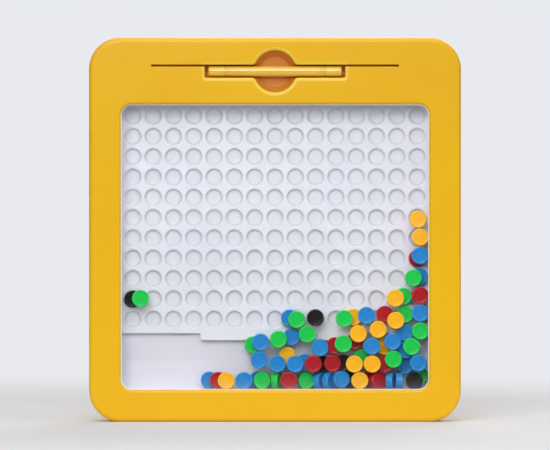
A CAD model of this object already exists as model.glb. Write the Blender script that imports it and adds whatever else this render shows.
import itertools
import math
import bmesh
import bpy
import numpy
from mathutils import Matrix, Vector


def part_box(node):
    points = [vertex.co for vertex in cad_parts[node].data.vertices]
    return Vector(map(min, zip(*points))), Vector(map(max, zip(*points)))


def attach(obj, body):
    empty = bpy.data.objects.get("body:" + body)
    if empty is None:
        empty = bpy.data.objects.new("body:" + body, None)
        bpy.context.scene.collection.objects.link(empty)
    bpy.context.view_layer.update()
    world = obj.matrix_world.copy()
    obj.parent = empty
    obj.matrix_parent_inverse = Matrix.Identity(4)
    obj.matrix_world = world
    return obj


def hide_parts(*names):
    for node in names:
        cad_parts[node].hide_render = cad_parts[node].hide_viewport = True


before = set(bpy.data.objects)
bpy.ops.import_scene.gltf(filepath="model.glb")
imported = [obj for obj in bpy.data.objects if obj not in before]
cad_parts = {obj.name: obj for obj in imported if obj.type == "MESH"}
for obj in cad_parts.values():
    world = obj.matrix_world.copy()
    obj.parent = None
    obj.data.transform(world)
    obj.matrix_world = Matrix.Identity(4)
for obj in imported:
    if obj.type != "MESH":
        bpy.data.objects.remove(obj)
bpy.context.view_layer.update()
scene = bpy.context.scene
mm = 0.001  # shapes are worked out in millimetres and built in metres


def nodeBox(name):
    low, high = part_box(name)
    return low / mm, high / mm


# places that the pieces share, read from the frame
caseLow, caseHigh = nodeBox("front_frame")
coverLow, coverHigh = nodeBox("back_cover")
windowBack = nodeBox("clear_window")[1].y
plateLow, plateHigh = nodeBox("grid_plate")
trayLow, trayHigh = nodeBox("bead_tray")
beadNodes = sorted(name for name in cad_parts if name.startswith("bead_") and name != "bead_tray")
barrelLow, barrelHigh = nodeBox("pen_barrel")
front = caseLow.y
back = coverHigh.y
half = caseHigh.x
top = caseHigh.z
penZ = (barrelLow.z + barrelHigh.z) / 2
penY = (barrelLow.y + barrelHigh.y) / 2
penRadius = (barrelHigh.z - barrelLow.z) / 2
print("frame read")

cameraSettings = {"lens": 235.9, "sensor": 36, "distance": 3.0, "aimHeight": 0.1639}


def makeCamera():
    data = bpy.data.cameras.new("camera")
    data.lens = cameraSettings["lens"]
    data.sensor_width = cameraSettings["sensor"]
    data.clip_start = 0.05
    data.clip_end = 120
    camera = bpy.data.objects.new("camera", data)
    camera.location = (0, front * mm - cameraSettings["distance"], cameraSettings["aimHeight"])
    camera.rotation_euler = (math.pi / 2, 0, 0)
    scene.collection.objects.link(camera)
    scene.camera = camera


lightSettings = {
    "key": {"place": (-0.3, -1.7, 1.15), "size": 1.3, "power": 21, "aim": (0, 0, 0.16)},
    "fill": {"place": (1.5, -1.3, 0.8), "size": 1.2, "power": 5, "aim": (0, 0, 0.16)},
    "overhead": {"place": (0.1, -0.15, 1.5), "size": 0.9, "power": 5, "aim": (0, 0, 0.2)},
    "rear": {"place": (0.5, 1.6, 1.3), "size": 1.6, "power": 17, "aim": (0, 0, 0.15)},
}
# shade is what the room gives as light, and backdrop is how bright it looks
roomSettings = {"colour": (0.95, 0.96, 1.0), "shade": 0.25, "backdrop": 0.86}


def makeLights():
    for name, one in lightSettings.items():
        data = bpy.data.lights.new(name + "Light", "AREA")
        data.shape = "SQUARE"
        data.size = one["size"]
        data.energy = one["power"]
        lamp = bpy.data.objects.new(name + "Light", data)
        lamp.location = one["place"]
        aim = Vector(one["aim"]) - Vector(one["place"])
        lamp.rotation_euler = aim.to_track_quat("-Z", "Y").to_euler()
        scene.collection.objects.link(lamp)
    world = bpy.data.worlds.new("paleRoom")
    world.use_nodes = True
    tree = world.node_tree
    sky = tree.nodes["Background"]
    sky.inputs["Color"].default_value = (*roomSettings["colour"], 1)
    seen = tree.nodes.new("ShaderNodeLightPath").outputs["Is Camera Ray"]
    tree.links.new(
        remap(tree, seen, 0.0, 1.0, roomSettings["shade"], roomSettings["backdrop"]), sky.inputs["Strength"]
    )
    scene.world = world
    scene.view_settings.view_transform = "Standard"  # so that the plastics keep their strong colours


def linear(red, green, blue):
    # screen colours, 0 to 1, as the linear values that the shader wants
    shares = [c / 12.92 if c <= 0.04045 else ((c + 0.055) / 1.055) ** 2.4 for c in (red, green, blue)]
    return (*shares, 1)


def newGroup(name, inputs, outputs):
    tree = bpy.data.node_groups.new(name, "ShaderNodeTree")
    for label, kind, value in inputs:
        socket = tree.interface.new_socket(name=label, in_out="INPUT", socket_type=kind)
        socket.default_value = value
    for label, kind in outputs:
        tree.interface.new_socket(name=label, in_out="OUTPUT", socket_type=kind)
    return tree, tree.nodes.new("NodeGroupInput").outputs, tree.nodes.new("NodeGroupOutput").inputs


def feed(tree, socket, value):
    # a link where value is a socket, and a plain value where it isn't
    if isinstance(value, bpy.types.NodeSocket):
        tree.links.new(value, socket)
    else:
        socket.default_value = value


def noise(tree, scale, detail=3, distortion=0, vector=None):
    made = tree.nodes.new("ShaderNodeTexNoise")
    feed(tree, made.inputs["Scale"], scale)
    made.inputs["Detail"].default_value = detail
    made.inputs["Distortion"].default_value = distortion
    tree.links.new(vector or objectCoordinates(tree), made.inputs["Vector"])
    return made.outputs["Fac"]


def objectCoordinates(tree):
    return tree.nodes.new("ShaderNodeTexCoord").outputs["Object"]


def remap(tree, value, fromLow, fromHigh, toLow=0.0, toHigh=1.0):
    made = tree.nodes.new("ShaderNodeMapRange")
    for socket, number in zip(made.inputs, (value, fromLow, fromHigh, toLow, toHigh)):
        feed(tree, socket, number)
    return made.outputs["Result"]


def blendColour(tree, mask, first, second):
    made = tree.nodes.new("ShaderNodeMix")
    made.data_type = "RGBA"
    feed(tree, made.inputs[0], mask)
    feed(tree, made.inputs[6], first)
    feed(tree, made.inputs[7], second)
    return made.outputs[2]


def calculate(tree, operation, first, second=0.0):
    made = tree.nodes.new("ShaderNodeMath")
    made.operation = operation
    feed(tree, made.inputs[0], first)
    feed(tree, made.inputs[1], second)
    return made.outputs[0]


def raised(tree, height, distance):
    made = tree.nodes.new("ShaderNodeBump")
    feed(tree, made.inputs["Height"], height)
    feed(tree, made.inputs["Distance"], distance)
    return made.outputs["Normal"]


def makeMouldedPlastic():
    # colour that drifts a little, a fine grain, and gloss that varies with both
    tree, given, out = newGroup(
        "mouldedPlastic",
        [
            ("Colour", "NodeSocketColor", (0.8, 0.8, 0.8, 1)),
            ("Deep Colour", "NodeSocketColor", (0.7, 0.7, 0.7, 1)),
            ("Drift Scale", "NodeSocketFloat", 20.0),
            ("Grain Scale", "NodeSocketFloat", 1500.0),
            ("Grain Depth", "NodeSocketFloat", 0.00001),
            ("Smooth", "NodeSocketFloat", 0.25),
            ("Rough", "NodeSocketFloat", 0.4),
        ],
        [("Colour", "NodeSocketColor"), ("Roughness", "NodeSocketFloat"), ("Normal", "NodeSocketVector")],
    )
    drift = noise(tree, given["Drift Scale"], 4, 0.6)
    grain = noise(tree, given["Grain Scale"], 2)
    mask = remap(tree, drift, 0.3, 0.7)
    fine = calculate(tree, "MULTIPLY", grain, 0.35)
    gloss = calculate(tree, "ADD", fine, calculate(tree, "MULTIPLY", drift, 0.65))
    tree.links.new(blendColour(tree, mask, given["Colour"], given["Deep Colour"]), out["Colour"])
    tree.links.new(remap(tree, gloss, 0.3, 0.7, given["Smooth"], given["Rough"]), out["Roughness"])
    tree.links.new(raised(tree, grain, given["Grain Depth"]), out["Normal"])
    return tree


def makeEdgeLight():
    # thin plastic edges read paler than the flats, and tight hollows a little deeper
    tree, given, out = newGroup(
        "edgeLight",
        [
            ("Colour", "NodeSocketColor", (0.8, 0.8, 0.8, 1)),
            ("Edge Colour", "NodeSocketColor", (1, 1, 1, 1)),
            ("Hollow Colour", "NodeSocketColor", (0.5, 0.5, 0.5, 1)),
            ("Edge Amount", "NodeSocketFloat", 0.4),
            ("Hollow Amount", "NodeSocketFloat", 0.3),
        ],
        [("Colour", "NodeSocketColor")],
    )
    bend = tree.nodes.new("ShaderNodeNewGeometry").outputs["Pointiness"]
    edge = remap(tree, bend, 0.51, 0.6)
    hollow = remap(tree, bend, 0.49, 0.42)
    lit = blendColour(
        tree, calculate(tree, "MULTIPLY", edge, given["Edge Amount"]), given["Colour"], given["Edge Colour"]
    )
    deep = calculate(tree, "MULTIPLY", hollow, given["Hollow Amount"])
    tree.links.new(blendColour(tree, deep, lit, given["Hollow Colour"]), out["Colour"])
    return tree


def makeHandling():
    # faint finger marks and hairline scuffs, as a roughness that rises and falls
    tree, given, out = newGroup(
        "handlingMarks",
        [
            ("Roughness", "NodeSocketFloat", 0.3),
            ("Mark Scale", "NodeSocketFloat", 30.0),
            ("Mark Amount", "NodeSocketFloat", 0.08),
            ("Scuff Amount", "NodeSocketFloat", 0.05),
        ],
        [("Roughness", "NodeSocketFloat")],
    )
    marks = remap(tree, noise(tree, given["Mark Scale"], 2, 1.4), 0.52, 0.68)
    stretch = tree.nodes.new("ShaderNodeMapping")
    tree.links.new(objectCoordinates(tree), stretch.inputs["Vector"])
    stretch.inputs["Rotation"].default_value = (0.2, 0.6, 0.4)
    stretch.inputs["Scale"].default_value = (40, 900, 900)
    scuffs = remap(tree, noise(tree, 1.0, 2, 0, stretch.outputs["Vector"]), 0.66, 0.76)
    raisedByMarks = calculate(tree, "MULTIPLY", marks, given["Mark Amount"])
    raisedByScuffs = calculate(tree, "MULTIPLY", scuffs, given["Scuff Amount"])
    total = calculate(tree, "ADD", raisedByMarks, raisedByScuffs)
    tree.links.new(calculate(tree, "ADD", given["Roughness"], total), out["Roughness"])
    return tree


def makeSettledDust():
    # a thin veil on the faces that look up
    tree, given, out = newGroup(
        "settledDust",
        [
            ("Colour", "NodeSocketColor", (0.8, 0.8, 0.8, 1)),
            ("Dust Colour", "NodeSocketColor", (0.72, 0.7, 0.66, 1)),
            ("Amount", "NodeSocketFloat", 0.15),
            ("Scale", "NodeSocketFloat", 120.0),
        ],
        [("Colour", "NodeSocketColor")],
    )
    parts = tree.nodes.new("ShaderNodeSeparateXYZ")
    tree.links.new(tree.nodes.new("ShaderNodeNewGeometry").outputs["Normal"], parts.inputs[0])
    facing = remap(tree, parts.outputs["Z"], 0.35, 1.0)
    speck = remap(tree, noise(tree, given["Scale"], 5), 0.35, 0.7)
    mask = calculate(tree, "MULTIPLY", calculate(tree, "MULTIPLY", facing, speck), given["Amount"])
    tree.links.new(blendColour(tree, mask, given["Colour"], given["Dust Colour"]), out["Colour"])
    return tree


mouldedPlastic = makeMouldedPlastic()
edgeLight = makeEdgeLight()
handlingMarks = makeHandling()
settledDust = makeSettledDust()


def place(tree, group, **values):
    # a shared effect in a material, with its own values. Underscores stand for spaces.
    made = tree.nodes.new("ShaderNodeGroup")
    made.node_tree = group
    for label, value in values.items():
        feed(tree, made.inputs[label.replace("_", " ")], value)
    return made.outputs


def newMaterial(name, **plain):
    material = bpy.data.materials.new(name)
    material.use_nodes = True
    tree = material.node_tree
    shader = tree.nodes["Principled BSDF"]
    for label, value in plain.items():
        shader.inputs[label.replace("_", " ")].default_value = value
    return material, tree, shader


def plasticMaterial(name, look):
    # moulded plastic: drift and grain, paler edges, dust on top, and the marks of hands
    material, tree, shader = newMaterial(
        name, IOR=look["ior"], Coat_Weight=look["coat"], Coat_Roughness=look["coatRoughness"],
        Coat_IOR=look["coatIor"],
    )
    body = place(
        tree, mouldedPlastic, Colour=linear(*look["colour"]), Deep_Colour=linear(*look["deep"]),
        Drift_Scale=look["driftScale"], Grain_Scale=look["grainScale"], Grain_Depth=look["grainDepth"],
        Smooth=look["smooth"], Rough=look["rough"],
    )
    lit = place(
        tree, edgeLight, Colour=body["Colour"], Edge_Colour=linear(*look["edge"]),
        Hollow_Colour=linear(*look["hollow"]), Edge_Amount=look["edgeAmount"],
        Hollow_Amount=look["hollowAmount"],
    )
    dusty = place(tree, settledDust, Colour=lit["Colour"], Amount=look["dust"])
    worn = place(
        tree, handlingMarks, Roughness=body["Roughness"], Mark_Amount=look["marks"],
        Scuff_Amount=look["scuffs"],
    )
    tree.links.new(dusty["Colour"], shader.inputs["Base Color"])
    tree.links.new(worn["Roughness"], shader.inputs["Roughness"])
    tree.links.new(body["Normal"], shader.inputs["Normal"])
    return material


caseLook = {
    "colour": (0.99, 0.77, 0.02), "deep": (0.975, 0.74, 0.015), "edge": (1.0, 0.89, 0.42),
    "hollow": (0.80, 0.50, 0.02), "driftScale": 9, "grainScale": 2200, "grainDepth": 0.000012,
    "smooth": 0.26, "rough": 0.36, "coat": 0.06, "coatRoughness": 0.12, "ior": 1.4, "coatIor": 1.5,
    "edgeAmount": 0.5, "hollowAmount": 0.4, "dust": 0.05, "marks": 0.05, "scuffs": 0.04,
    "recessLip": (1.0, 0.845, 0.27), "recessInside": (0.88, 0.57, 0.22), "recessReach": (64, 23),
}
coverLook = {
    **caseLook, "smooth": 0.36, "rough": 0.48, "coat": 0.05, "grainScale": 1300, "grainDepth": 0.00003,
}
penLook = {
    **caseLook, "colour": (0.985, 0.79, 0.12), "deep": (0.97, 0.75, 0.09), "driftScale": 40,
    "smooth": 0.14, "rough": 0.24, "coat": 1.0, "coatRoughness": 0.12, "grainDepth": 0.000004,
    "ior": 1.5, "coatIor": 1.6,
}
plateLook = {
    "colour": (0.885, 0.88, 0.915), "deep": (0.865, 0.865, 0.90), "edge": (0.95, 0.95, 0.98),
    "hollow": (0.74, 0.74, 0.79), "driftScale": 12, "grainScale": 1800, "grainDepth": 0.000012,
    "smooth": 0.34, "rough": 0.46, "coat": 0.1, "coatRoughness": 0.25, "ior": 1.45, "coatIor": 1.5,
    "edgeAmount": 0.35, "hollowAmount": 0.35, "dust": 0.05, "marks": 0.03, "scuffs": 0.03,
    "floor": (0.85, 0.85, 0.875), "wall": (0.72, 0.72, 0.75), "wallShade": 0.55,
}
gutterLook = {
    **plateLook, "colour": (0.87, 0.865, 0.90), "deep": (0.85, 0.85, 0.885), "smooth": 0.4, "rough": 0.52,
}
gasketLook = {
    **plateLook, "colour": (1.0, 0.965, 0.86), "deep": (0.98, 0.94, 0.82), "smooth": 0.25, "rough": 0.35,
}

beadColours = {
    "green": {"colour": (0.05, 0.80, 0.31), "deep": (0.03, 0.74, 0.26), "edge": (0.45, 0.93, 0.55),
              "hollow": (0.03, 0.50, 0.17)},
    "blue": {"colour": (0.12, 0.53, 0.80), "deep": (0.10, 0.48, 0.76), "edge": (0.42, 0.72, 0.92),
             "hollow": (0.04, 0.28, 0.48)},
    "yellow": {"colour": (0.98, 0.73, 0.05), "deep": (0.95, 0.67, 0.03), "edge": (1.0, 0.86, 0.38),
               "hollow": (0.72, 0.42, 0.02)},
    "red": {"colour": (0.70, 0.03, 0.09), "deep": (0.62, 0.02, 0.07), "edge": (0.92, 0.34, 0.36),
            "hollow": (0.36, 0.01, 0.04)},
    "black": {"colour": (0.06, 0.05, 0.06), "deep": (0.045, 0.04, 0.045), "edge": (0.30, 0.28, 0.30),
              "hollow": (0.03, 0.02, 0.03)},
}
beadLook = {
    "driftScale": 160, "grainScale": 2600, "grainDepth": 0.000006, "smooth": 0.3, "rough": 0.42,
    "coat": 0.08, "coatRoughness": 0.2, "ior": 1.36, "coatIor": 1.5, "edgeAmount": 0.45,
    "hollowAmount": 0.4, "dust": 0.02, "marks": 0.06, "scuffs": 0.05,
}


def metalMaterial(name, look):
    # turned metal: fine rings, a drift in tone and a little tarnish in the hollows
    material, tree, shader = newMaterial(name, Metallic=1.0, IOR=2.5)
    rings = tree.nodes.new("ShaderNodeTexWave")
    rings.wave_type = "RINGS"
    rings.rings_direction = "SPHERICAL"
    rings.inputs["Scale"].default_value = look["ringScale"]
    rings.inputs["Distortion"].default_value = 1.5
    tree.links.new(objectCoordinates(tree), rings.inputs["Vector"])
    tone = remap(tree, noise(tree, look["toneScale"], 4), 0.35, 0.65)
    colour = blendColour(tree, tone, linear(*look["colour"]), linear(*look["deep"]))
    lit = place(
        tree, edgeLight, Colour=colour, Edge_Colour=linear(*look["edge"]),
        Hollow_Colour=linear(*look["hollow"]), Edge_Amount=0.5, Hollow_Amount=0.6,
    )
    worn = place(tree, handlingMarks, Roughness=look["roughness"], Mark_Amount=0.1, Scuff_Amount=0.1)
    tree.links.new(lit["Colour"], shader.inputs["Base Color"])
    tree.links.new(worn["Roughness"], shader.inputs["Roughness"])
    tree.links.new(raised(tree, rings.outputs["Fac"], look["ringDepth"]), shader.inputs["Normal"])
    return material


steelLook = {
    "colour": (0.78, 0.79, 0.80), "deep": (0.68, 0.69, 0.71), "edge": (0.95, 0.95, 0.95),
    "hollow": (0.25, 0.24, 0.24), "ringScale": 900, "ringDepth": 0.000008, "toneScale": 300,
    "roughness": 0.28,
}
nickelLook = {
    **steelLook, "colour": (0.66, 0.65, 0.63), "deep": (0.52, 0.51, 0.50), "ringScale": 500, "roughness": 0.2,
}


def shadeDimples(material):
    # the dimples' thin floors read a little greyer than the web, and their walls greyer still
    tree = material.node_tree
    base = tree.nodes["Principled BSDF"].inputs["Base Color"]
    plain = base.links[0].from_socket
    parts = tree.nodes.new("ShaderNodeSeparateXYZ")
    tree.links.new(objectCoordinates(tree), parts.inputs[0])
    depth = remap(tree, parts.outputs["Y"], (plateLow.y + 0.1) * mm, (plateLow.y + 1.9) * mm)
    wall = calculate(tree, "MULTIPLY", depth, calculate(tree, "SUBTRACT", 1.0, depth))
    floors = blendColour(tree, depth, plain, linear(*plateLook["floor"]))
    walls = calculate(tree, "MULTIPLY", wall, plateLook["wallShade"] * 4)
    tree.links.new(blendColour(tree, walls, floors, linear(*plateLook["wall"])), base)


def shadeRecess(material):
    # round the pen's recess the lip is paler, and the walls and the dish inside are a deeper orange
    tree = material.node_tree
    base = tree.nodes["Principled BSDF"].inputs["Base Color"]
    plain = base.links[0].from_socket
    parts = tree.nodes.new("ShaderNodeSeparateXYZ")
    tree.links.new(objectCoordinates(tree), parts.inputs[0])
    reachX, reachZ = caseLook["recessReach"]
    besideX = calculate(tree, "ABSOLUTE", parts.outputs["X"])
    besideZ = calculate(tree, "ABSOLUTE", calculate(tree, "SUBTRACT", parts.outputs["Z"], penZ * mm))
    near = calculate(tree, "MULTIPLY", remap(tree, besideX, (reachX - 1) * mm, reachX * mm, 1.0, 0.0),
                     remap(tree, besideZ, (reachZ - 1) * mm, reachZ * mm, 1.0, 0.0))
    lip = calculate(tree, "MULTIPLY", near, remap(tree, parts.outputs["Y"], front * mm, (front + 0.1) * mm))
    inside = calculate(tree, "MULTIPLY", near,
                       remap(tree, parts.outputs["Y"], (front + 1) * mm, (front + 4) * mm))
    lipped = blendColour(tree, lip, plain, linear(*caseLook["recessLip"]))
    tree.links.new(blendColour(tree, inside, lipped, linear(*caseLook["recessInside"])), base)


def windowMaterial():
    # clear sheet that lets the lights through to what is behind it
    material, tree, shader = newMaterial("windowClear", IOR=1.49, Transmission_Weight=1.0)
    shader.inputs["Specular IOR Level"].default_value = 0.1
    haze = remap(tree, noise(tree, 14, 3, 0.8), 0.3, 0.7)
    tint = blendColour(tree, haze, linear(0.995, 0.997, 1.0), linear(0.985, 0.99, 0.995))
    worn = place(tree, handlingMarks, Roughness=0.015, Mark_Scale=22.0, Mark_Amount=0.02, Scuff_Amount=0.015)
    tree.links.new(tint, shader.inputs["Base Color"])
    tree.links.new(worn["Roughness"], shader.inputs["Roughness"])
    tree.links.new(raised(tree, haze, 0.00001), shader.inputs["Normal"])
    through = tree.nodes.new("ShaderNodeBsdfTransparent")
    rays = tree.nodes.new("ShaderNodeLightPath")
    mixed = tree.nodes.new("ShaderNodeMixShader")
    tree.links.new(rays.outputs["Is Shadow Ray"], mixed.inputs[0])
    tree.links.new(shader.outputs[0], mixed.inputs[1])
    tree.links.new(through.outputs[0], mixed.inputs[2])
    tree.links.new(mixed.outputs[0], tree.nodes["Material Output"].inputs["Surface"])
    return material


caseYellow = plasticMaterial("caseYellow", caseLook)
shadeRecess(caseYellow)
coverYellow = plasticMaterial("coverYellow", coverLook)
penYellow = plasticMaterial("penYellow", penLook)
plateWhite = plasticMaterial("plateWhite", plateLook)
shadeDimples(plateWhite)
gutterWhite = plasticMaterial("gutterWhite", gutterLook)
screwSteel = metalMaterial("screwSteel", steelLook)
magnetNickel = metalMaterial("magnetNickel", nickelLook)
gasketWhite = plasticMaterial("gasketWhite", gasketLook)
windowClear = windowMaterial()
beadPlastics = {
    colour: plasticMaterial("bead" + colour.capitalize(), {**beadLook, **look})
    for colour, look in beadColours.items()
}
print("materials mixed")


def arc(centreX, centreZ, radius, startDegrees, endDegrees, steps):
    points = []
    for step in range(steps + 1):
        angle = math.radians(startDegrees + (endDegrees - startDegrees) * step / steps)
        points.append((centreX + radius * math.cos(angle), centreZ + radius * math.sin(angle)))
    return points


def roundedLoop(halfWidth, low, high, radius, steps):
    # a rounded rectangle seen from the front, anticlockwise from the lower right
    x = halfWidth - radius
    return (
        arc(x, low + radius, radius, -90, 0, steps) + arc(x, high - radius, radius, 0, 90, steps)
        + arc(-x, high - radius, radius, 90, 180, steps) + arc(-x, low + radius, radius, 180, 270, steps)
    )


def quarterTurn(steps):
    # a rounded edge as shares of its radius: how far it has risen, and how far it still has to run
    angles = [math.pi / 2 * step / steps for step in range(steps + 1)]
    return [(1 - math.cos(angle), 1 - math.sin(angle)) for angle in angles]


def addRing(bm, points, y):
    return [bm.verts.new((x * mm, y * mm, z * mm)) for x, z in points]


def bridge(bm, first, second):
    # quads between two rings. Anticlockwise rings, first nearer the front: the wall faces inwards.
    for i in range(len(first)):
        j = (i + 1) % len(first)
        bm.faces.new((first[i], first[j], second[j], second[i]))


def bridgeOutward(bm, rings):
    # rings from front to back, round the outside of a piece
    for ahead, behind in zip(rings, rings[1:]):
        bridge(bm, behind, ahead)


def bridgeInward(bm, rings):
    for ahead, behind in zip(rings, rings[1:]):
        bridge(bm, ahead, behind)


def ringEdges(bm, ring):
    found = []
    for i, vert in enumerate(ring):
        pair = (vert, ring[(i + 1) % len(ring)])
        found.append(bm.edges.get(pair) or bm.edges.new(pair))
    return found


def fillBetween(bm, loops, facing):
    # a flat face bounded by one outer ring and any holes
    edges = [edge for ring in loops for edge in ringEdges(bm, ring)]
    bmesh.ops.triangle_fill(bm, use_beauty=True, use_dissolve=False, edges=edges, normal=facing)


def turnedRings(bm, profile, steps, spot):
    # a closed turned shape from (radius, along) points that start and end on the axis
    rings = []
    angles = [2 * math.pi * step / steps for step in range(steps)]
    for radius, along in profile:
        if radius == 0:
            rings.append([bm.verts.new(spot(0, 0, along))])
            continue
        rings.append([bm.verts.new(spot(radius * math.cos(a), radius * math.sin(a), along)) for a in angles])
    for first, second in zip(rings, rings[1:]):
        for i in range(steps):
            j = (i + 1) % steps
            corners = [first[i % len(first)], first[j % len(first)],
                       second[j % len(second)], second[i % len(second)]]
            bm.faces.new(list(dict.fromkeys(corners)))
    bmesh.ops.recalc_face_normals(bm, faces=bm.faces)


def finishMesh(bm, name, sharpDegrees=40):
    mesh = bpy.data.meshes.new(name)
    bm.to_mesh(mesh)
    bm.free()
    mesh.polygons.foreach_set("use_smooth", [True] * len(mesh.polygons))
    mesh.set_sharp_from_angle(angle=math.radians(sharpDegrees))
    return mesh


def addPiece(name, mesh, body, skin, replaced=(), matrix=None):
    piece = bpy.data.objects.new(name, mesh)
    if matrix:
        piece.matrix_world = matrix
    scene.collection.objects.link(piece)
    if not mesh.materials:
        mesh.materials.append(skin)
    shading = piece.modifiers.new("evenShading", "WEIGHTED_NORMAL")
    shading.keep_sharp = True
    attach(piece, body)
    if replaced:
        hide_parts(*replaced)
    return piece


bezelSettings = {
    "cornerRadius": 26, "edgeRound": 4, "roundSteps": 7, "cornerSteps": 20, "wall": 2.5, "seamBevel": 0.25,
    "seamShort": 0.8, "innerFront": 3, "openingInset": 26.5, "openingTop": 264.5, "openingRadius": 9,
    "lipWidth": 2.2, "lipDepth": 3, "lipLand": 2.5, "lipSteps": 7,
    "recessRadius": 5.4, "recessHalf": 58.45, "recessLip": 3.0, "recessLipDepth": 1.5, "recessSteps": 5,
    "dishRadius": 17.8, "dishCurve": 14.5, "dishSteps": 14, "blendRadius": 3.6, "blendSteps": 6,
    "slotHalf": 103, "slotWidth": 1.5, "slotDepth": 7, "slotLip": 0.3, "runSteps": 6,
    "footRadius": 1.2, "footSteps": 5, "wallStep": 3.2, "floorDegrees": (33, 44, 55, 65, 74, 82),
}


def caseOutline(bm, inset, y):
    b = bezelSettings
    loop = roundedLoop(half - inset, inset, top - inset, b["cornerRadius"] - inset, b["cornerSteps"])
    return addRing(bm, loop, y)


def recessLoop(lip, slotLip, dishRadius, halfHeight, slotOpen):
    # the pen's recess and its finger dish as one outline, with the card slot along its upper edge
    s = bezelSettings
    reach = s["recessHalf"] + lip
    level = halfHeight + lip
    blend = s["blendRadius"] - lip
    centreZ = halfHeight + s["blendRadius"]
    centreX = math.sqrt((dishRadius + s["blendRadius"]) ** 2 - centreZ ** 2)
    turn = math.degrees(math.atan2(centreZ, centreX))
    step = 0.7 * (lip - slotLip)
    slotTop = s["recessRadius"] + slotLip
    slotLow = s["recessRadius"] - s["slotWidth"] - slotLip
    slotEnd = s["slotHalf"] + slotLip
    if not slotOpen:
        slotTop, slotLow, slotEnd = level * 0.7, level * 0.4, reach
    shares = [k / s["runSteps"] for k in range(s["runSteps"] + 1)]
    side = arc(0, 0, dishRadius + lip, 90, turn, s["dishSteps"])
    side += arc(centreX, centreZ, blend, turn + 180, 270, s["blendSteps"])[1:]
    side += [(centreX + (reach - step - centreX) * share, level) for share in shares[1:]]
    side += [(reach, level - step), (reach, slotTop)]
    side += [(reach + (slotEnd - reach) * share, slotTop) for share in shares[1:]]
    side += [(reach + (slotEnd - reach) * share, slotLow) for share in reversed(shares)]
    foot = min(s["footRadius"] + lip, 0.6 * level)
    side += arc(reach - foot, foot - level, foot, 0, -90, s["footSteps"])
    side += [(reach - foot + (centreX - reach + foot) * share, -level) for share in shares[1:]]
    side += arc(centreX, -centreZ, blend, 90, 180 - turn, s["blendSteps"])[1:]
    side += arc(0, 0, dishRadius + lip, -turn, -90, s["dishSteps"])[1:]
    whole = side + [(-x, z) for x, z in reversed(side[1:-1])]
    return [(x, z + penZ) for x, z in reversed(whole)]


def recessRings(bm):
    s = bezelSettings
    floorY = penY - front
    rings = []

    def add(depth, lip=0.0, slotLip=0.0, slotOpen=True):
        below = max(0, depth - floorY)
        level = math.sqrt(max(0.4, s["recessRadius"] ** 2 - below ** 2))
        dish = s["dishRadius"] * math.sqrt(1 - (depth / s["dishCurve"]) ** 2)
        rings.append(addRing(bm, recessLoop(lip, slotLip, dish, level, slotOpen), front + depth))

    for rise, left in quarterTurn(s["recessSteps"]):
        add(s["recessLipDepth"] * rise, s["recessLip"] * left, s["slotLip"] * left)
    add(s["wallStep"])
    add(floorY)
    add(floorY + 1)
    add(s["slotDepth"])
    add(s["slotDepth"], slotOpen=False)
    for degrees in s["floorDegrees"]:
        add(floorY + s["recessRadius"] * math.sin(math.radians(degrees)), slotOpen=False)
    return rings


def makeFrontBezel():
    s = bezelSettings
    bm = bmesh.new()
    seam = caseHigh.y - s["seamShort"]  # the shell ends short of the screw bosses, which are out of sight
    outer = []
    for rise, left in quarterTurn(s["roundSteps"]):
        outer.append(caseOutline(bm, s["edgeRound"] * left, front + s["edgeRound"] * rise))
    for inset, y in ((0, 0), (0, seam - s["seamBevel"]), (s["seamBevel"], seam)):
        outer.append(caseOutline(bm, inset, y))
    bridgeOutward(bm, outer)
    rim = caseOutline(bm, s["wall"], seam)
    bridge(bm, rim, outer[-1])
    bridgeInward(bm, [caseOutline(bm, s["wall"], front + s["innerFront"]), rim])

    opening = []
    openingHalf = half - s["openingInset"]

    def lip(grow, y):
        loop = roundedLoop(openingHalf + grow, s["openingInset"] - grow, s["openingTop"] + grow,
                           s["openingRadius"] + grow, s["cornerSteps"])
        return addRing(bm, loop, y)

    for rise, left in quarterTurn(s["lipSteps"]):
        opening.append(lip(s["lipWidth"] * left, front + s["lipDepth"] * rise))
    opening.append(lip(s["lipLand"], front + s["lipDepth"]))
    bridgeInward(bm, opening)

    recess = recessRings(bm)
    bridgeInward(bm, recess)
    fillBetween(bm, [outer[0], opening[0], recess[0]], (0, -1, 0))
    floorY = recess[-1][0].co.y
    bmesh.ops.remove_doubles(bm, verts=bm.verts, dist=1e-6)
    rimEdges = [edge for edge in bm.edges if edge.is_boundary and abs(edge.verts[0].co.y - floorY) < 1e-7]
    bmesh.ops.triangle_fill(bm, use_beauty=True, use_dissolve=False, edges=rimEdges, normal=(0, -1, 0))
    mesh = finishMesh(bm, "frontBezel")
    addPiece("frontBezel", mesh, "case", caseYellow, ["front_frame"])


shellSettings = {
    "thickness": 2.4, "grooveInset": 21, "grooveWidth": 1.2, "grooveDepth": 0.35, "bevel": 0.3,
    "headHole": 3.4, "headDepth": 1.7, "shankHole": 1.8, "shankShort": 0.9, "holeSteps": 32,
}
screwNodes = [f"screw_{number}" for number in range(1, 7)]


def screwPlace(node):
    low, high = nodeBox(node)
    return (low + high) / 2, low, high


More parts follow.
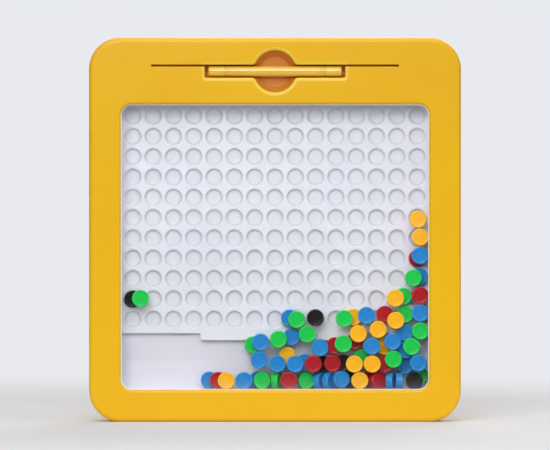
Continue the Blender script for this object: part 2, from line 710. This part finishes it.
def makeBackShell():
    s = shellSettings
    b = bezelSettings
    bm = bmesh.new()
    seam = coverLow.y
    start = math.asin((seam + b["seamBevel"] - back + b["edgeRound"]) / b["edgeRound"])
    outer = [caseOutline(bm, b["edgeRound"] * (1 - math.cos(start)) + b["seamBevel"], seam)]
    for step in range(b["roundSteps"] + 1):
        angle = start + (math.pi / 2 - start) * step / b["roundSteps"]
        outer.append(caseOutline(bm, b["edgeRound"] * (1 - math.cos(angle)),
                                 back - b["edgeRound"] * (1 - math.sin(angle))))
    bridgeOutward(bm, outer)
    rim = caseOutline(bm, b["wall"], seam)
    inner = caseOutline(bm, b["wall"], back - s["thickness"])
    bridge(bm, rim, outer[0])
    bridgeInward(bm, [rim, inner])
    bm.faces.new(inner)

    near = s["grooveInset"]
    far = near + s["grooveWidth"]
    deep = back - s["grooveDepth"]
    lines = ((near, back), (near + s["bevel"], deep), (far - s["bevel"], deep), (far, back))
    groove = [caseOutline(bm, inset, y) for inset, y in lines]
    bridgeOutward(bm, groove[1::-1])
    bridge(bm, groove[2], groove[1])
    bridge(bm, groove[3], groove[2])
    holes = []
    for node in screwNodes:
        centre = screwPlace(node)[0]

        def circle(radius, y):
            return addRing(bm, arc(centre.x, centre.z, radius, 0, 360, s["holeSteps"])[:-1], y)

        seat = back - s["headDepth"]
        bore = [circle(s["headHole"] + s["bevel"], back), circle(s["headHole"], back - s["bevel"]),
                circle(s["headHole"], seat), circle(s["shankHole"], seat),
                circle(s["shankHole"], seam + s["shankShort"])]
        for outerRing, innerRing in zip(bore, bore[1:]):
            bridge(bm, innerRing, outerRing)
        holes.append(bore[0])
    fillBetween(bm, [outer[-1], groove[0], *holes], (0, 1, 0))
    fillBetween(bm, [groove[3]], (0, 1, 0))
    mesh = finishMesh(bm, "backShell")
    addPiece("backShell", mesh, "case", coverYellow, ["back_cover"])


screwSettings = {
    "crossArm": 1.7, "crossHalfWidth": 0.42, "crossDepth": 0.7, "shankRadius": 1.45, "steps": 32,
    "headOver": 0.1, "headThick": 1.2, "threads": 8, "threadStart": 1.8, "threadPitch": 1.05,
    "threadHalf": 0.5, "rootShare": 0.86, "turnEach": 0.5,
}


def makeCoverScrews():
    s = screwSettings
    centre, low, high = screwPlace("screw_1")
    headRadius = (high.x - low.x) / 2 + s["headOver"]
    headBack = high.y - centre.y
    headFront = headBack - s["headThick"]
    tip = low.y - centre.y
    bm = bmesh.new()

    def circle(radius, y):
        return addRing(bm, arc(0, 0, radius, 0, 360, s["steps"])[:-1], y)

    def cross(scale, y):
        arm = s["crossArm"] * scale
        wide = s["crossHalfWidth"] * (0.5 + 0.5 * scale)
        points = [(arm, -wide), (arm, wide), (wide, wide), (wide, arm), (-wide, arm), (-wide, wide),
                  (-arm, wide), (-arm, -wide), (-wide, -wide), (-wide, -arm), (wide, -arm), (wide, -wide)]
        return addRing(bm, points, y)

    # from the shank's tip to the head, then the cross cut into it
    shank = [circle(0.3, tip), circle(s["shankRadius"] * 0.9, tip + 1.5)]
    for turn in range(s["threads"]):
        y = tip + s["threadStart"] + turn * s["threadPitch"]
        shank += [circle(s["shankRadius"], y), circle(s["shankRadius"] * s["rootShare"], y + s["threadHalf"])]
    shank += [circle(s["shankRadius"], headFront), circle(headRadius - 0.15, headFront),
              circle(headRadius, headFront + 0.15), circle(headRadius, headBack - 0.45),
              circle(headRadius - 0.2, headBack - 0.2), circle(headRadius - 0.8, headBack - 0.04),
              circle(headRadius - 1.0, headBack)]
    bridgeOutward(bm, shank)
    bm.faces.new(shank[0])
    cut = [cross(0.45, headBack - s["crossDepth"]), cross(0.9, headBack - 0.12), cross(1, headBack)]
    for inner, outer in zip(cut, cut[1:]):
        bridge(bm, inner, outer)
    fillBetween(bm, [shank[-1], cut[-1]], (0, 1, 0))
    fillBetween(bm, [cut[0]], (0, 1, 0))
    mesh = finishMesh(bm, "coverScrew", 30)
    for number, node in enumerate(screwNodes, 1):
        turned = Matrix.Rotation(s["turnEach"] * number, 4, "Y")
        spot = Matrix.Translation(screwPlace(node)[0] * mm) @ turned
        addPiece(f"coverScrew{number}", mesh, "case", screwSteel, [node], spot)


plateSettings = {
    "pitch": 17, "columns": 15, "rows": 11, "lowestCells": 85, "steps": 32, "edge": 0.5, "cornerRadius": 3,
    "tongueHalf": 62.5, "tongueDrop": 5.8, "tongueRadius": 2.2, "tongueHollow": 1.2,
    # the dimple from its rim to its floor, as (radius, depth)
    "dimple": [(7.9, 0), (7.6, 0.06), (7.25, 0.25), (6.85, 0.62), (6.4, 1.1), (5.85, 1.5), (5.1, 1.8),
               (4.1, 1.95), (3, 2.0), (1.8, 2.0)],
}


def plateOutline(inset):
    s = plateSettings
    edgeLow = plateLow.z + s["tongueDrop"] + inset
    radius = s["cornerRadius"] - inset
    tongue = s["tongueHalf"] - inset
    drop = plateLow.z + inset
    tongueRadius = s["tongueRadius"] - inset
    hollow = s["tongueHollow"] + inset
    x = plateHigh.x - inset - radius
    z = plateHigh.z - inset - radius
    return (
        arc(tongue - tongueRadius, drop + tongueRadius, tongueRadius, -90, 0, 5)
        + arc(tongue + hollow, edgeLow - hollow, hollow, 180, 90, 4)
        + arc(x, edgeLow + radius, radius, -90, 0, 6) + arc(x, z, radius, 0, 90, 6)
        + arc(-x, z, radius, 90, 180, 6) + arc(-x, edgeLow + radius, radius, 180, 270, 6)
        + arc(-tongue - hollow, edgeLow - hollow, hollow, 90, 0, 4)
        + arc(tongueRadius - tongue, drop + tongueRadius, tongueRadius, 180, 270, 5)
    )


def makeDimpledPlate():
    s = plateSettings
    bm = bmesh.new()
    turns = [2 * math.pi * k / s["steps"] for k in range(s["steps"])]
    face = plateLow.y
    pitch = s["pitch"]
    reach = [pitch / 2 / max(abs(math.cos(a)), abs(math.sin(a))) for a in turns]
    for row in range(s["rows"]):
        for column in range(s["columns"]):
            x = (column - (s["columns"] - 1) / 2) * pitch
            z = s["lowestCells"] + row * pitch
            square = [(x + r * math.cos(a), z + r * math.sin(a)) for r, a in zip(reach, turns)]
            rings = [addRing(bm, square, face)]
            for radius, depth in s["dimple"]:
                loop = [(x + radius * math.cos(a), z + radius * math.sin(a)) for a in turns]
                rings.append(addRing(bm, loop, face + depth))
            for outer, inner in zip(rings, rings[1:]):
                bridge(bm, outer, inner)
            bm.faces.new(rings[-1])
    bmesh.ops.remove_doubles(bm, verts=bm.verts, dist=1e-6)
    tiles = [edge for edge in bm.edges if len(edge.link_faces) == 1]
    sides = ((s["edge"], face), (s["edge"] * 0.3, face + 0.15), (0, face + s["edge"]), (0, plateHigh.y))
    rings = [addRing(bm, plateOutline(inset), y) for inset, y in sides]
    bridgeOutward(bm, rings)
    bmesh.ops.triangle_fill(bm, use_beauty=True, use_dissolve=False, normal=(0, -1, 0),
                            edges=tiles + ringEdges(bm, rings[0]))
    fillBetween(bm, [rings[-1]], (0, 1, 0))
    mesh = finishMesh(bm, "dimpledPlate", 50)
    addPiece("dimpledPlate", mesh, "case", plateWhite, ["grid_plate"])


gutterSettings = {
    "wall": 1.6, "cornerRadius": 3.3, "cornerSteps": 8, "bevel": 0.3, "floor": 2, "fillet": 1.4,
    "filletSteps": 6, "rampTop": 72.8, "rampFoot": 50.3, "rampSteps": 12, "rampSoft": 0.45, "crestOver": 0.3,
}


def makeBeadGutter():
    s = gutterSettings
    bm = bmesh.new()
    faceY = trayLow.y
    floorY = trayHigh.y - s["floor"]
    outerRadius = s["cornerRadius"] + s["wall"]
    bevel = s["bevel"]

    def loop(inset, y):
        return addRing(bm, roundedLoop(trayHigh.x - inset, trayLow.z + inset, trayHigh.z - inset,
                                       max(0.4, outerRadius - inset), s["cornerSteps"]), y)

    outside = [loop(bevel, faceY), loop(0, faceY + bevel),
               loop(0, trayHigh.y - bevel), loop(bevel, trayHigh.y)]
    bridgeOutward(bm, outside)
    inside = [loop(s["wall"] - bevel, faceY), loop(s["wall"], faceY + bevel)]
    for rise, left in quarterTurn(s["filletSteps"]):
        inside.append(loop(s["wall"] + s["fillet"] * rise, floorY - s["fillet"] * left))
    bridge(bm, outside[0], inside[0])
    bridgeInward(bm, inside)
    fillBetween(bm, [inside[-1]], (0, -1, 0))
    fillBetween(bm, [outside[-1]], (0, 1, 0))

    # the slope that leads the beads off the plate, eased into the floor at its foot
    crest = plateHigh.y + s["crestOver"]
    soft = s["rampSoft"]
    strip = [(s["rampTop"] + 14, crest), (s["rampTop"] + 1, crest)]
    for step in range(s["rampSteps"] + 1):
        share = step / s["rampSteps"]
        eased = share * share * (3 - 2 * share)
        strip.append((s["rampTop"] + (s["rampFoot"] - s["rampTop"]) * share,
                      crest + (floorY - 0.02 - crest) * (soft * eased + (1 - soft) * share)))
    reach = trayHigh.x - s["wall"]
    rows = [[bm.verts.new((x * mm, y * mm, z * mm)) for x in (-reach, reach)] for z, y in strip]
    for (leftUp, rightUp), (leftLow, rightLow) in zip(rows, rows[1:]):
        bm.faces.new((leftLow, rightLow, rightUp, leftUp))
    mesh = finishMesh(bm, "beadGutter")
    addPiece("beadGutter", mesh, "case", gutterWhite, ["bead_tray"])


gasketSettings = {
    "shown": 0.85, "hidden": 0.5, "front": 0.02, "thickness": 0.26, "bevel": 0.12, "cornerSteps": 16,
}


def makeWindowGasket():
    # the pale strip that shows as a fine line between the lip and the window
    s = gasketSettings
    b = bezelSettings
    bm = bmesh.new()
    faceY = front + b["lipDepth"] + s["front"]

    def loop(grow, y):
        points = roundedLoop(half - b["openingInset"] + grow, b["openingInset"] - grow,
                             b["openingTop"] + grow, b["openingRadius"] + grow, s["cornerSteps"])
        return addRing(bm, points, y)

    behind = faceY + s["thickness"]
    rings = [loop(s["hidden"], faceY), loop(-s["shown"] + s["bevel"], faceY),
             loop(-s["shown"], faceY + s["bevel"]), loop(-s["shown"], behind), loop(s["hidden"], behind)]
    for outer, inner in zip(rings, rings[1:] + rings[:1]):
        bridge(bm, outer, inner)
    mesh = finishMesh(bm, "windowGasket")
    addPiece("windowGasket", mesh, "case", gasketWhite)


def makeWindow():
    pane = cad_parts["clear_window"]
    pane.data.materials.clear()
    pane.data.materials.append(windowClear)


penSettings = {
    "steps": 56, "capRound": 1.5, "capSteps": 8, "capWall": 0.95, "capDepth": 9.5, "seam": 0.12,
    "neckGap": 0.3, "plugWall": 1.25, "plugDepth": 8, "magnetBevel": 0.3,
    # two fine grooves near each end: how far from the neck, how deep, and half as wide as these
    "grooves": (1.8, 2.9), "grooveDepth": 0.1, "grooveMouth": 0.25, "grooveFloor": 0.1,
}


def makePen():
    s = penSettings
    tipLow, tipHigh = nodeBox("pen_tip_cap")
    endLow, endHigh = nodeBox("pen_end_cap")
    magnetLow, magnetHigh = nodeBox("pen_magnet")

    def spot(u, v, along):
        return (along * mm, (penY + u) * mm, (penZ + v) * mm)

    def lathe(name, profile, skin, node):
        bm = bmesh.new()
        turnedRings(bm, profile, s["steps"], spot)
        addPiece(name, finishMesh(bm, name, 50), "pen", skin, [node])

    r = penRadius
    neck = tipHigh.x + s["neckGap"]
    plug = r - s["plugWall"]
    plugEnd = -endLow.x - s["plugDepth"]
    shaft = [(0, plugEnd), (plug, plugEnd), (plug, neck), (r - s["seam"], neck), (r, neck + s["seam"])]
    floor = r - s["grooveDepth"]
    for offset in s["grooves"]:
        middle = neck + offset
        shaft += [(r, middle - s["grooveMouth"]), (floor, middle - s["grooveFloor"]),
                  (floor, middle + s["grooveFloor"]), (r, middle + s["grooveMouth"])]
    shaft += [(radius, -along) for radius, along in reversed(shaft)]
    lathe("penShaft", shaft, penYellow, "pen_barrel")

    def cap(mouth, end):
        side = 1 if end > mouth else -1
        deep = mouth + side * s["capDepth"]
        hollow = r - s["capWall"]
        inward = [(0, deep), (hollow, deep), (hollow, mouth)]
        rim = [(r - s["seam"], mouth), (r, mouth + side * s["seam"])]
        crown = []
        for rise, left in quarterTurn(s["capSteps"]):
            crown.append((r - s["capRound"] * rise, end - side * s["capRound"] * left))
        return inward + rim + crown + [(0, end)]

    lathe("penNose", cap(tipHigh.x, tipLow.x), penYellow, "pen_tip_cap")
    lathe("penTail", cap(endLow.x, endHigh.x), penYellow, "pen_end_cap")
    slug = (magnetHigh.z - magnetLow.z) / 2
    bevel = s["magnetBevel"]
    nearEnd = [(0, magnetLow.x), (slug - bevel, magnetLow.x), (slug, magnetLow.x + bevel)]
    farEnd = [(slug, magnetHigh.x - bevel), (slug - bevel, magnetHigh.x), (0, magnetHigh.x)]
    lathe("penMagnetSlug", nearEnd + farEnd, magnetNickel, "pen_magnet")


beadSettings = {
    "steps": 48, "edge": 0.75, "edgeSteps": 5, "share": 0.984,
    # one face from its centre to the rim's crest, as shares of the radius and drops below the crest
    "face": [(0, 0.42), (0.4, 0.42), (0.66, 0.4), (0.73, 0.33), (0.79, 0.17), (0.835, 0.05), (0.865, 0)],
}
# beads at the back of the heap and along the gutter, roughly where they lie before they are settled:
# colour, x, z, depth y, turn in degrees about the upright
heapBeads = [
    ("blue", -55, 34, 5.8, 0), ("red", -47.5, 34, 0, 0), ("yellow", -40, 34, -6, 0),
    ("blue", -26, 34, -6, 0), ("blue", -15, 34, 3, 0), ("green", -8, 34, -3, -40),
    ("green", 1, 34, 0, 60), ("red", 11.5, 34, -6, 0), ("green", 26, 34, 0, 10),
    ("blue", 37, 34, 0, 60), ("blue", 45, 34, 0, 50), ("blue", 55, 35, -2, 30),
    ("black", 62, 34, 5.5, 0), ("yellow", 70, 34, -5, 15), ("red", 77.5, 34, 4, 10),
    ("red", 86.5, 34, -2, 10), ("blue", 97, 34, -1, 65), ("blue", 104, 34, -1, 65),
    ("black", 116, 34, -6, 0), ("green", 121.5, 38, 5, 0), ("black", 42, 47, 5.5, 0),
    ("red", 50, 63, 0, 0), ("red", 48, 48, 0, 0), ("black", 57.5, 50, 5.5, 0),
    ("red", 69, 64, 2, 5), ("green", 72, 54, 4, 0), ("yellow", 91, 60, 1, 15),
    ("blue", 109.5, 59.5, 0.5, 0), ("blue", 109, 45.5, 5.5, 0), ("red", 92, 47.5, 0, 0),
]


def beadMesh(colour):
    s = beadSettings
    radius = beadRadius
    halfThick = beadHalfThick
    side = [(radius * share, halfThick - drop) for share, drop in s["face"]]
    for rise, left in quarterTurn(s["edgeSteps"])[1:]:
        side.append((radius - s["edge"] * left, halfThick - s["edge"] * rise))
    side += [(radius, 0.3), (radius - 0.03, 0.12)]  # the mould's parting line
    profile = side + [(r, -along) for r, along in reversed(side)]
    bm = bmesh.new()
    turnedRings(bm, profile, s["steps"], lambda u, v, along: (u * mm, along * mm, v * mm))
    mesh = finishMesh(bm, "drawingBead" + colour.capitalize(), 60)
    mesh.materials.append(beadPlastics[colour])
    return mesh


def beadTurn(node):
    # a bead's own axis is the way its largest face looks
    largest = max(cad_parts[node].data.polygons, key=lambda one: one.area)
    axis = largest.normal if largest.normal.y > 0 else -largest.normal
    return math.atan2(-axis.x, axis.y)


settleSettings = {
    "gap": 0.06, "passes": 6, "sink": 0.9, "around": 16, "tilts": 13, "touch": 1e-4,
    # the moves tried: how far each step goes, how many go each way, and how much it is avoided
    "aside": (0.6, 4, 1.0), "depth": (0.9, 5, 0.3), "up": (0.6, 4, 1.0), "turn": (7.5, 3, 0.09),
}


# the CAD bead has flats, so the round one takes the mean of its corners and flats
oneBeadLow, oneBeadHigh = nodeBox("bead_yellow_01")
beadRadius = (oneBeadHigh.x - oneBeadLow.x) / 2 * beadSettings["share"]
beadHalfThick = (oneBeadHigh.y - oneBeadLow.y) / 2


def fanOfDirections():
    s = settleSettings
    fan = []
    for tilt in range(s["tilts"]):
        lean = math.pi * tilt / (s["tilts"] - 1) - math.pi / 2
        for turn in range(s["around"]):
            angle = math.pi * turn / s["around"]
            fan.append((math.cos(lean) * math.cos(angle), math.sin(lean), math.cos(lean) * math.sin(angle)))
    return numpy.array(fan)


def spread(fan, turns):
    # how far beads with these turns reach along each direction
    radius = beadRadius + settleSettings["gap"] / 2
    halfThick = beadHalfThick + settleSettings["gap"] / 2
    axes = numpy.stack([-numpy.sin(turns), numpy.cos(turns), numpy.zeros(len(turns))], axis=1)
    along = numpy.abs(axes @ fan.T)
    return halfThick * along + radius * numpy.sqrt(numpy.maximum(0, 1 - along ** 2))


def crowding(fan, tried, neighbours):
    # how deep each tried place cuts into the neighbours: no direction parts two beads that overlap
    total = numpy.zeros(len(tried))
    reach = spread(fan, tried[:, 3])
    for one in neighbours:
        apart = numpy.abs((tried[:, :3] - one[:3]) @ fan.T) - reach - spread(fan, one[3:4])
        total += numpy.maximum(0, -apart.max(axis=1))
    return total


def insideTray(x, y, z, turn):
    # clear of the tray's walls, the window, the plate and the ramp
    g = gutterSettings
    p = plateSettings
    across = beadRadius * abs(math.cos(turn)) + beadHalfThick * abs(math.sin(turn))
    deep = beadRadius * abs(math.sin(turn)) + beadHalfThick * abs(math.cos(turn))
    crown = z + beadRadius * settleSettings["sink"]
    underTongue = abs(x) < p["tongueHalf"] and crown > plateLow.z
    share = (crown - g["rampFoot"]) / (g["rampTop"] - g["rampFoot"])
    deepest = trayHigh.y - g["floor"]
    if underTongue or crown > plateLow.z + p["tongueDrop"]:
        deepest = plateLow.y
    elif share > 0:
        deepest += (plateHigh.y - deepest) * share
    withinWalls = abs(x) + across < trayHigh.x - g["wall"] and z - beadRadius > trayLow.z + g["wall"]
    return withinWalls and windowBack < y - deep and y + deep < deepest


def settledHeap():
    # moves each loose bead by the least amount that leaves it clear of the others
    s = settleSettings
    fan = fanOfDirections()
    kinds = [s[kind] for kind in ("aside", "depth", "up", "turn")]
    moves = sorted(
        (sum(abs(count * size) * cost for count, (size, most, cost) in zip(counts, kinds)), counts)
        for counts in itertools.product(*(range(-most, most + 1) for size, most, cost in kinds))
    )
    units = [kinds[0][0], kinds[1][0], kinds[2][0], math.radians(kinds[3][0])]
    offsets = numpy.array([counts for cost, counts in moves]) * units
    fixed = []
    for node in beadNodes:
        low, high = nodeBox(node)
        fixed.append((*((low + high) / 2), beadTurn(node)))
    wanted = numpy.array([(x, y, z, math.radians(turn)) for colour, x, z, y, turn in heapBeads])
    places = wanted.copy()
    reach = 2 * math.hypot(beadRadius, beadHalfThick)
    for sweep in range(s["passes"]):
        crowded = []
        for index, want in enumerate(wanted):
            others = numpy.array(fixed + [one for k, one in enumerate(places.tolist()) if k != index])
            now = places[index]
            if insideTray(*now) and crowding(fan, places[index:index + 1], others)[0] < s["touch"]:
                continue
            tried = want + offsets
            tried = tried[[insideTray(*one) for one in tried.tolist()]]
            near = others[numpy.linalg.norm(others[:, :3] - want[:3], axis=1) < 1.5 * reach]
            cut = crowding(fan, tried, near)
            if cut.min() < s["touch"]:
                places[index] = tried[numpy.argmax(cut < s["touch"])]
            else:
                places[index] = tried[numpy.argmin(cut)]
                crowded.append(f"{heapBeads[index][0]} at {want[0]:.0f}, {want[2]:.0f} by {cut.min():.2f}")
        if not crowded:
            break
    print("heap settled, still crowded:", crowded)
    return places.tolist()


def makeBeads():
    meshes = {colour: beadMesh(colour) for colour in beadColours}
    for node in beadNodes:
        colour = node.split("_")[1]
        low, high = nodeBox(node)
        spot = Matrix.Translation((low + high) / 2 * mm) @ Matrix.Rotation(beadTurn(node), 4, "Z")
        name = "drawingBead_" + node[len("bead_"):]
        addPiece(name, meshes[colour], node, beadPlastics[colour], [node], spot)
    for number, (listed, (x, y, z, turn)) in enumerate(zip(heapBeads, settledHeap()), 1):
        colour = listed[0]
        spot = Matrix.Translation(Vector((x, y, z)) * mm) @ Matrix.Rotation(turn, 4, "Z")
        name = f"heapBead_{colour}_{number:02d}"
        addPiece(name, meshes[colour], "case", beadPlastics[colour], (), spot)


floorSettings = {"size": 90, "colour": (0.93, 0.93, 0.935), "deep": (0.915, 0.915, 0.92), "fadeFrom": 0.4,
                 "fadeTo": 1.0}


def makeFloor():
    s = floorSettings
    bm = bmesh.new()
    reach = s["size"] / 2
    bm.faces.new([bm.verts.new((x * reach, y * reach, 0)) for x, y in ((-1, -1), (1, -1), (1, 1), (-1, 1))])
    mesh = finishMesh(bm, "studioFloor")
    floor = bpy.data.objects.new("studioFloor", mesh)
    scene.collection.objects.link(floor)
    material, tree, shader = newMaterial("studioFloor", Roughness=0.7)
    shader.inputs["Specular IOR Level"].default_value = 0
    cloud = remap(tree, noise(tree, 3.0, 4), 0.3, 0.7)
    lit = blendColour(tree, cloud, linear(*s["colour"]), linear(*s["deep"]))
    # the floor turns into the backdrop some way out, so that no horizon shows
    away = tree.nodes.new("ShaderNodeVectorMath")
    away.operation = "LENGTH"
    tree.links.new(objectCoordinates(tree), away.inputs[0])
    fade = tree.nodes.new("ShaderNodeMapRange")
    fade.interpolation_type = "SMOOTHSTEP"
    for socket, number in zip(fade.inputs, (away.outputs["Value"], s["fadeFrom"], s["fadeTo"])):
        feed(tree, socket, number)
    tree.links.new(blendColour(tree, fade.outputs["Result"], lit, (0, 0, 0, 1)), shader.inputs["Base Color"])
    seen = tree.nodes.new("ShaderNodeLightPath").outputs["Is Camera Ray"]
    glow = calculate(tree, "MULTIPLY", calculate(tree, "MULTIPLY", fade.outputs["Result"], seen),
                     roomSettings["backdrop"])
    shader.inputs["Emission Color"].default_value = (*roomSettings["colour"], 1)
    tree.links.new(glow, shader.inputs["Emission Strength"])
    tree.links.new(raised(tree, noise(tree, 600.0, 2), 0.00005), shader.inputs["Normal"])
    mesh.materials.append(material)


makeCamera()
makeLights()
makeFloor()
print("camera, lights and floor set")
makeFrontBezel()
makeBackShell()
makeCoverScrews()
print("case built")
makeDimpledPlate()
makeBeadGutter()
makeWindow()
makeWindowGasket()
print("window, plate and gutter built")
makePen()
print("pen built")
makeBeads()
print("beads placed")
